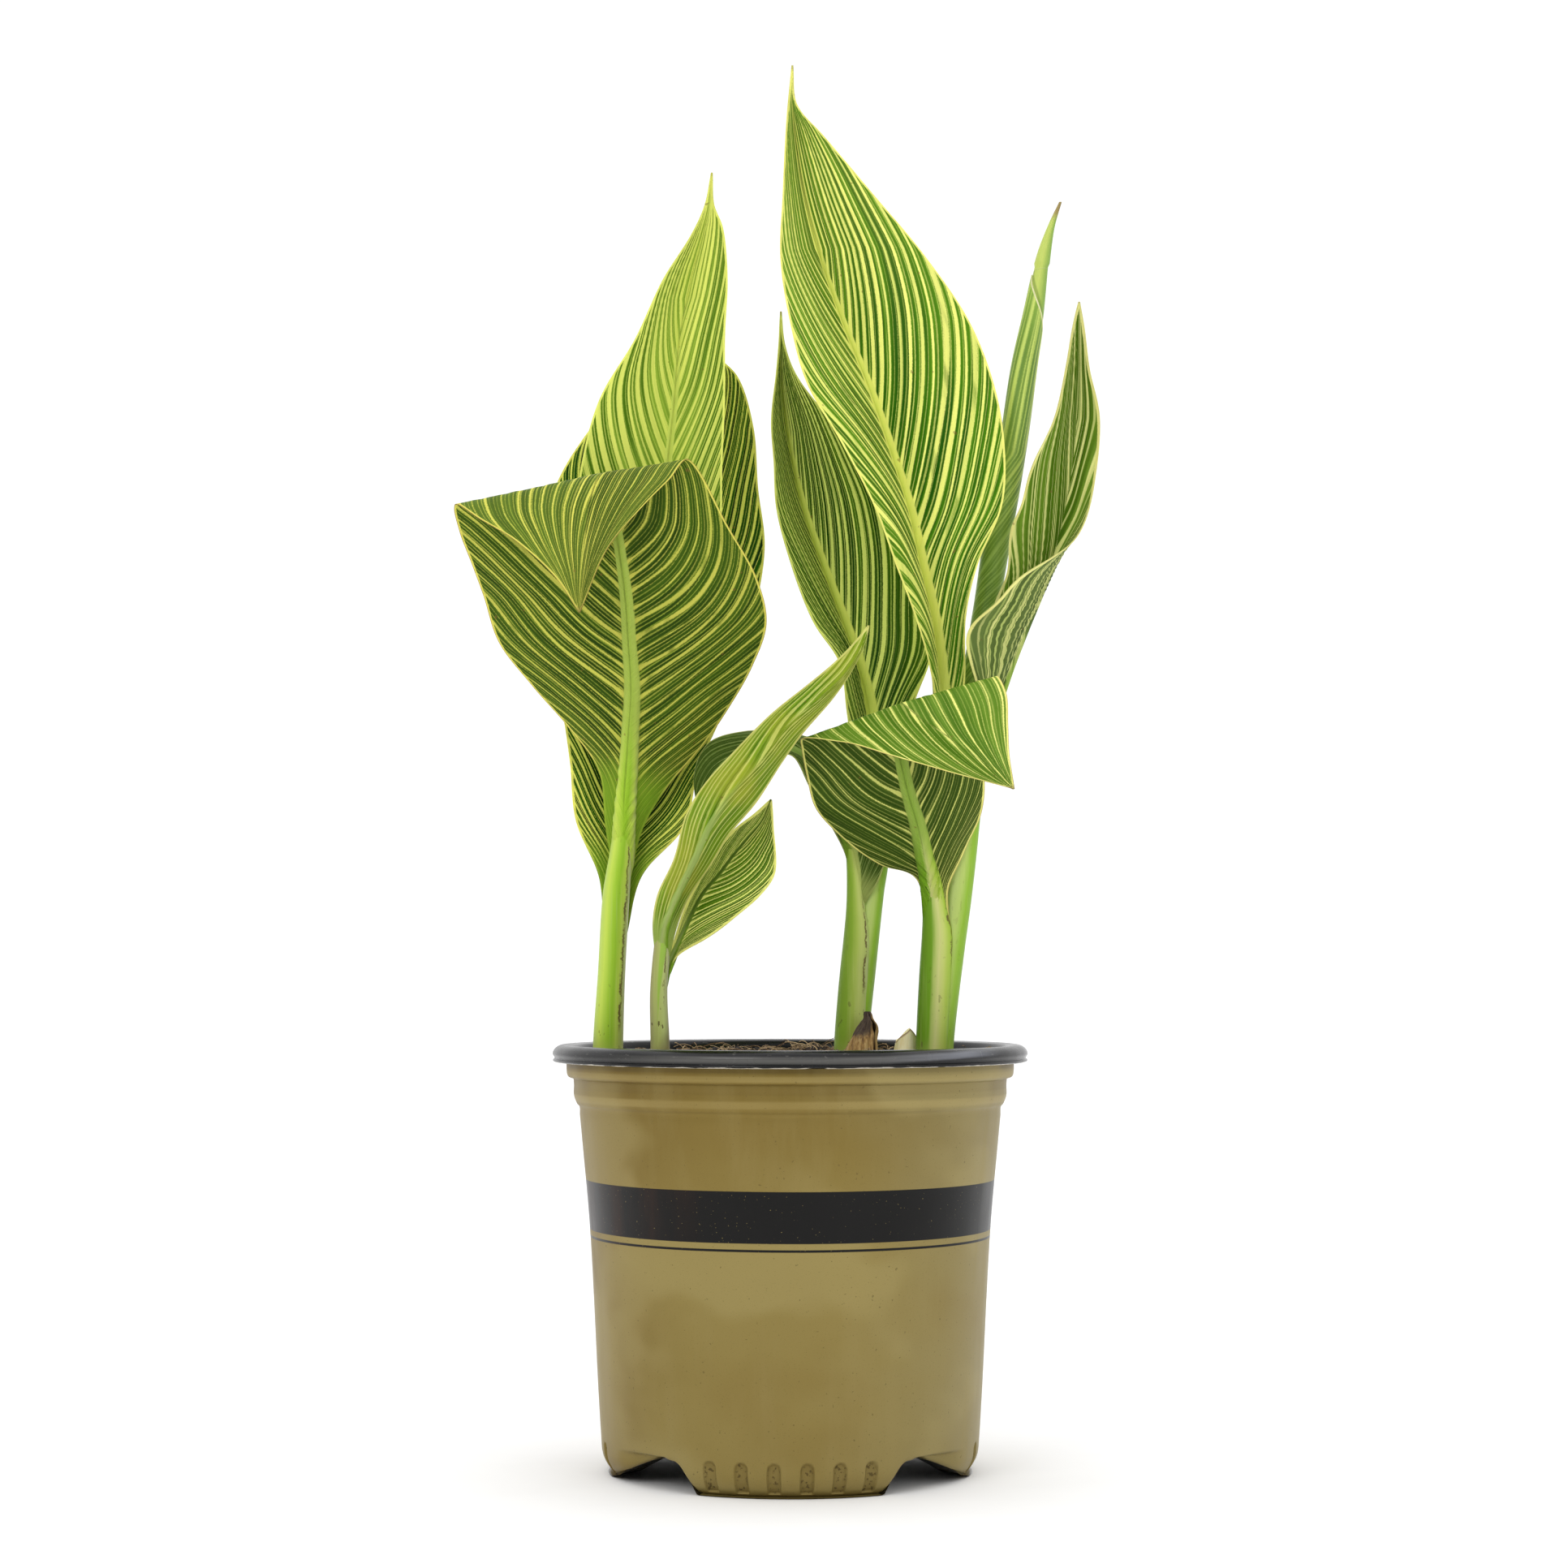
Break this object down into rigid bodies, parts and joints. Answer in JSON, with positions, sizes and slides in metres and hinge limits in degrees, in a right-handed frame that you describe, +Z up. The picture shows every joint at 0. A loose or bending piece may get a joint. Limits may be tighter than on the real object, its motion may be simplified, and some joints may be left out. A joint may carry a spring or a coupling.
{
  "type": "potted canna lily",
  "caption": "Young canna lily with tall, folded and rolled yellow-striped green leaves, rooted in potting mix in a round footed nursery pot.",
  "frame": {"origin": "centre of the bounding box at the ground plane; the pot's axis stands 3.6 mm along +X from it", "axes": "+Z up along the pot's axis; -Y is the front, towards which the two folded leaves hang; +X to the right"},
  "size_m": [0.2718, 0.2, 0.599],
  "materials": {
    "pot_plastic": "satin",
    "potting_mix": "matte",
    "stem_green": "satin",
    "leaf_olive": "satin",
    "leaf_green": "satin",
    "leaf_lime": "satin",
    "leaf_spear": "satin",
    "dry_sheath": "matte",
    "cut_shoot": "matte"
  },
  "bodies": {
    "root": {"pot": "pot_plastic", "soil": "potting_mix", "stem_left": "stem_green", "stem_small": "stem_green", "stem_middle": "stem_green", "stem_right": "stem_green", "leaf_left_folded": "leaf_olive", "leaf_left_young": "leaf_lime", "leaf_left_rear": "leaf_green", "leaf_small_rolled": "leaf_lime", "leaf_small_channelled": "leaf_green", "leaf_middle_tall": "leaf_green", "leaf_middle_arching": "leaf_olive", "leaf_right_tall": "leaf_green", "leaf_right_folded": "leaf_olive", "leaf_right_twisted": "leaf_olive", "leaf_right_spear": "leaf_spear", "dried_husk": "dry_sheath", "cut_stub": "cut_shoot"}
  },
  "joints": []
}
